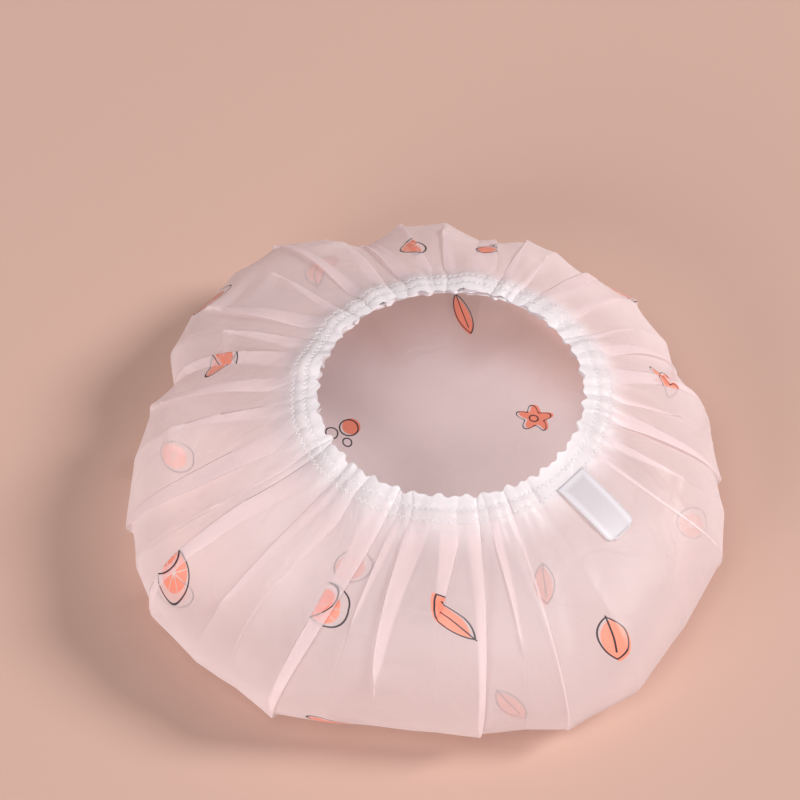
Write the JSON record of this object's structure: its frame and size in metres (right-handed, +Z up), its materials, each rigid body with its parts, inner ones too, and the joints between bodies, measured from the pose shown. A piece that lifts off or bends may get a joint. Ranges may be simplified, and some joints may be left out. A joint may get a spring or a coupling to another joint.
{
  "type": "shower cap",
  "caption": "Shower cap of frosted film gathered onto a knitted elastic ring, lying crown down with its mouth up, with a blank folded label.",
  "frame": {"origin": "on the surface that the crown lies on, straight under the middle of the mouth", "axes": "+Z up out of the mouth, -Y towards the viewer of the picture, +X to its right"},
  "size_m": [0.2929, 0.3114, 0.0886],
  "materials": {
    "frosted_film": "frosted, soft sheen",
    "knitted_elastic": "ribbed knit, matte",
    "sewing_thread": "twisted thread",
    "label_satin": "woven satin, blank"
  },
  "bodies": {
    "cap": {"cap_film": "frosted_film", "elastic_band": "knitted_elastic", "outer_needle_thread": "sewing_thread", "inner_needle_thread": "sewing_thread", "outer_bobbin_thread": "sewing_thread", "inner_bobbin_thread": "sewing_thread", "lap_tack": "sewing_thread", "label_tab": "label_satin"},
    "label": {"label_flap": "label_satin"}
  },
  "joints": [
    {"name": "label_fold", "type": "hinge", "parent": "cap", "child": "label", "pos_m": [0.06025, -0.05284, 0.07739], "axis": [-0.6593, -0.7518, 0], "range_deg": [0, 130]}
  ]
}
